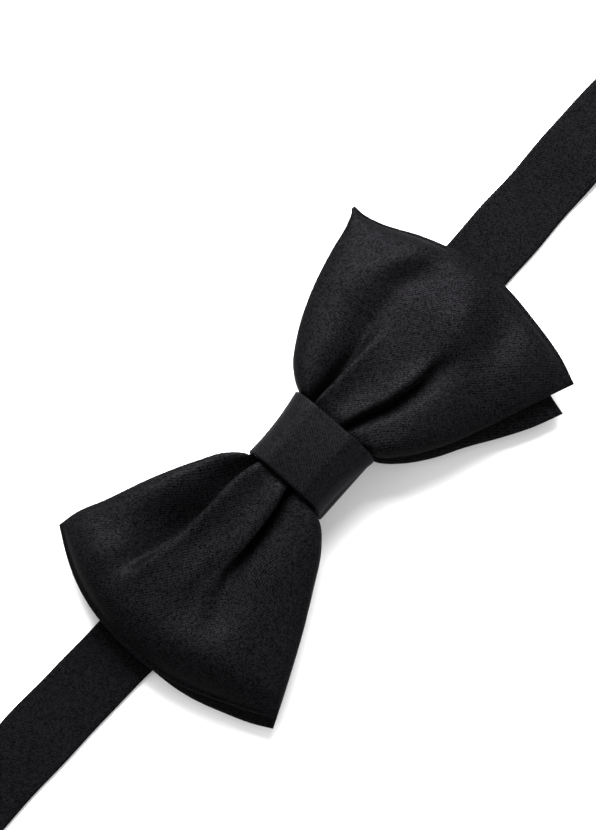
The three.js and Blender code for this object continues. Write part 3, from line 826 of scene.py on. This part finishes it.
class Shader:
    """One material's node tree, with the few nodes that the fabrics need."""

    def __init__(self, name):
        self.material = bpy.data.materials.new(name)
        self.material.use_nodes = True
        self.tree = self.material.node_tree
        self.bsdf = self.tree.nodes["Principled BSDF"]

    def node(self, kind, output, inputs=None, **settings):
        """A node of any kind, with its inputs set or linked, and one of its outputs."""
        made = self.tree.nodes.new(kind)
        for key, value in settings.items():
            setattr(made, key, value)
        for key, value in (inputs or {}).items():
            if isinstance(value, Field):
                self.tree.links.new(value.socket, made.inputs[key])
            else:
                made.inputs[key].default_value = value
        return Field(self.tree, made.outputs[output])

    def uv(self):
        """The piece's own lengths along and across the cloth, in metres."""
        return self.node("ShaderNodeUVMap", "UV", uv_map="UVMap")

    def place(self):
        """The place on the object, in metres."""
        return self.node("ShaderNodeTexCoord", "Object")

    def parts(self, vector):
        """The x, y and z of a vector as three fields."""
        split = self.node("ShaderNodeSeparateXYZ", "X", {"Vector": vector}).socket.node
        return [Field(self.tree, split.outputs[axis]) for axis in "XYZ"]

    def scaled(self, vector, x, y, z=1.0):
        """A vector with each axis multiplied."""
        return self.node("ShaderNodeVectorMath", "Vector", {0: vector, 1: (x, y, z)},
                         operation="MULTIPLY")

    def noise(self, vector, scale, detail=2.0, roughness=0.5):
        """Noise from 0 to 1 at a scale in turns per unit of vector."""
        return self.node("ShaderNodeTexNoise", "Fac",
                         {"Vector": vector, "Scale": scale, "Detail": detail, "Roughness": roughness})

    def colours(self, share, first, second):
        """A colour from first, at share 0, to second, at share 1."""
        ends = {MIX_FIRST: (*first, 1), MIX_SECOND: (*second, 1)}
        return self.node("ShaderNodeMix", "Result", {"Factor": share, **ends}, data_type="RGBA")

    def float_glints(self, vector, scale):
        """A random value from 0 to 1 for each cell, at a scale in cells per unit of vector."""
        cells = self.node("ShaderNodeTexVoronoi", "Color", {"Vector": vector, "Scale": scale})
        return self.parts(cells)[0]

    def bump(self, height):
        """A normal from a height in metres."""
        return self.node("ShaderNodeBump", "Normal",
                         {"Height": height, "Strength": 1.0, "Distance": 1.0})

    def set(self, **values):
        """Sets or links inputs of the Principled shader."""
        for key, value in values.items():
            socket = self.bsdf.inputs[key.replace("_", " ")]
            if isinstance(value, Field):
                self.tree.links.new(value.socket, socket)
            else:
                socket.default_value = value


def paint(material, *painted):
    """Gives pieces one material in place of what they had."""
    for piece in painted:
        piece.data.materials.clear()
        piece.data.materials.append(material)


# %% [markdown]
# ## Satin
#
# Black satin returns very little light, and most of it as a soft lobe off its floats, with
# hardly any pale rim at a glancing angle. That is nearer to a very dark metal than to a
# coated plastic, so the shader is mostly metallic with a near-black colour. Each float
# catches the light a little differently; those glints are painted into the base colour as
# a fine lavender speckle, over faint diagonal lines of the weave.


# %% Satin
FLOATS_PER_METRE = 3600.0
LINES_ALONG, LINES_OVER = 6400.0, 8600.0    # radians per metre, along and across the cloth


def satin(name, shine, grain, weave=0.12, rim=0.1, by_place=False):
    """Black satin. shine is its reflectance and rim how pale it turns at a glancing angle.

    grain and weave are the shares of its unevenness that come from painted glints of single
    float threads and from the diagonal lines.
    """
    s = Shader(name)
    uv = s.place() if by_place else s.uv()
    along, over, _ = s.parts(uv)
    fine = s.noise(uv, 2600.0, detail=2.0, roughness=0.8).contrast(2.0)
    # Painted glints: each float's cell gets a random tone, up to pale lavender, in the base colour.
    float_glints = s.float_glints(uv, FLOATS_PER_METRE).contrast(1.3)
    cloud = s.noise(uv, 60.0, detail=1.0).contrast(1.6)
    lines = (along * LINES_ALONG + over * LINES_OVER).sine() * 0.5 + 0.5
    rest = 1.0 - grain - weave
    share = float_glints * grain + lines * weave + fine * (rest * 0.8) + cloud * (rest * 0.2)
    dark = tuple(shine * c for c in (0.02, 0.02, 0.02))
    # light is the pale lavender of the painted glints.
    light = tuple(shine * c for c in (2.2, 2.13, 2.4))
    s.set(Base_Color=s.colours(share, dark, light), Metallic=0.55,
          Roughness=0.54 + cloud * 0.08, Specular_IOR_Level=rim * 0.2,
          Specular_Tint=(rim, rim, rim * 1.1, 1), Sheen_Weight=0.006, Sheen_Roughness=0.4,
          Sheen_Tint=(0.85, 0.82, 1.0, 1),
          Normal=s.bump(fine * 0.000009 + lines * 0.000006))
    return s.material


bow_satin = satin("bow_satin", shine=0.0041, grain=0.66, weave=0.3)
knot_satin = satin("knot_satin_finish", shine=0.0031, grain=0.6, weave=0.36, rim=0.45)
strap_satin = satin("strap_satin_finish", shine=0.0036, grain=0.6, weave=0.25)
paint(bow_satin, front_bow, back_bow)
paint(knot_satin, knot)
paint(strap_satin, left_strap, right_strap, run_strap, return_strap)


# %% [markdown]
# ## Thread, interlining and nickel
#
# These pieces are plain solids from the frame, so their finishes are read off the object's
# own coordinates. Thread is twisted, interlining is matted fibre, and the fittings are
# stamped from nickel-plated steel, tumbled smooth and a little duller in random patches.


# %% Thread, interlining and nickel
def thread():
    """Twisted black polyester thread."""
    s = Shader("thread_finish")
    x, y, z = s.parts(s.place())
    twist = ((x + y * 1.3 + z) * 16000.0).sine() * 0.5 + 0.5
    fuzz = s.noise(s.place(), 3000.0).contrast(2.0)
    share = twist * 0.7 + fuzz * 0.3
    s.set(Base_Color=s.colours(share, (0.002, 0.002, 0.002), (0.012, 0.012, 0.014)),
          Roughness=0.45 + fuzz * 0.2, Sheen_Weight=0.05, Normal=s.bump(twist * 0.00003))
    return s.material


def fibre_sheet():
    """Charcoal interlining: matted fibres in every direction."""
    s = Shader("interlining_finish")
    squeezed_y = s.scaled(s.place(), 1.0, 5.0, 1.0)
    squeezed_x = s.scaled(s.place(), 5.0, 1.0, 1.0)
    fibres = s.noise(squeezed_y, 900.0, detail=4.0, roughness=0.7).contrast(2.4)
    strands = s.noise(squeezed_x, 700.0, detail=4.0, roughness=0.7).contrast(2.4)
    share = fibres * 0.5 + strands * 0.5
    s.set(Base_Color=s.colours(share, (0.012, 0.012, 0.013), (0.05, 0.05, 0.052)),
          Roughness=0.85 + share * 0.1, Sheen_Weight=0.1, Normal=s.bump(share * 0.00006))
    return s.material


def nickel():
    """Stamped nickel plate: a soft grain from tumbling, a few scuffs and duller patches."""
    s = Shader("nickel_finish")
    grain = s.noise(s.place(), 1800.0, detail=3.0).contrast(2.0)
    squeezed = s.scaled(s.place(), 1.0, 7.0, 3.0)
    scuffs = s.noise(squeezed, 420.0, detail=5.0, roughness=0.75).contrast(3.2)
    tarnish = s.noise(s.place(), 130.0, detail=2.0).contrast(2.4)
    s.set(Base_Color=s.colours(tarnish, (0.15, 0.145, 0.138), (0.24, 0.234, 0.222)), Metallic=1.0,
          Roughness=0.22 + scuffs * 0.14 + tarnish * 0.08,
          Normal=s.bump(grain * 0.000004 + scuffs * 0.000006))
    return s.material


stitches = [nodes[name] for name in
            ("knot_closing_stitches", "eye_loop_stitches", "slide_wrap_stitches")]
fittings = [nodes[name] for name in ("eye", "hook", "adjuster_slide")]
paint(thread(), *stitches)
paint(fibre_sheet(), front_lining, back_lining, nodes["knot_interlining"])
paint(nickel(), *fittings)
binding_satin = satin("binding_satin_finish", shine=0.0044, grain=0.5, by_place=True)
paint(binding_satin, nodes["waist_binding"])
print("materials", sorted(material.name for material in bpy.data.materials))

# %% [markdown]
# ## Floor and light
#
# The tie lies on plain white, under one large soft light from above the top of the view. The
# folds are told apart by that light alone: cloth that faces away from it falls dark. Two
# weak fills and a pale sky keep the darkest creases readable.

# %% Floor and light
HALF_FLOOR = 3.0            # metres
FLOOR_DROP = 0.0001         # the floor lies just below the cloth, metres
floor_mesh = bpy.data.meshes.new("floor")
floor_mesh.from_pydata(
    [(-HALF_FLOOR, -HALF_FLOOR, 0), (HALF_FLOOR, -HALF_FLOOR, 0), (HALF_FLOOR, HALF_FLOOR, 0),
     (-HALF_FLOOR, HALF_FLOOR, 0)], [], [(0, 1, 2, 3)])
floor = bpy.data.objects.new("floor", floor_mesh)
bpy.context.scene.collection.objects.link(floor)
floor.location.z = -FLOOR_DROP
white = Shader("floor_white")
white.set(Base_Color=(0.85, 0.85, 0.85, 1), Roughness=0.9, Specular_IOR_Level=0.2)
floor.data.materials.append(white.material)


def soft_light(name, spot, size, power):
    """A square area light at a spot in metres, of a size in metres and a power in watts."""
    data = bpy.data.lights.new(name, "AREA")
    data.shape = "SQUARE"
    data.size = size
    data.energy = power
    light = bpy.data.objects.new(name, data)
    bpy.context.scene.collection.objects.link(light)
    light.location = spot
    light.rotation_mode = "QUATERNION"
    light.rotation_quaternion = spot.to_track_quat("Z", "Y")


def seen(right, up, high):
    """A spot given as the camera sees it: to the right, up the view and above the table.

    Right is the azimuth's cosine along X and sine along Y, and up is square to it.
    """
    c, s = np.cos(CAMERA_AZIMUTH), np.sin(CAMERA_AZIMUTH)
    return Vector((c * right - s * up, s * right + c * up, high))


soft_light("key_softbox", seen(-0.05, 0.78, 0.6), size=0.7, power=44)
soft_light("left_fill", seen(-1.0, 0.1, 0.7), size=0.9, power=5)
soft_light("right_fill", seen(0.9, -0.5, 0.7), size=0.9, power=7)
world = bpy.data.worlds.new("world")
bpy.context.scene.world = world
world.use_nodes = True
sky = world.node_tree.nodes["Background"].inputs
sky["Color"].default_value = (1, 1, 1, 1)
sky["Strength"].default_value = 0.6
bpy.context.scene.view_settings.view_transform = "Standard"
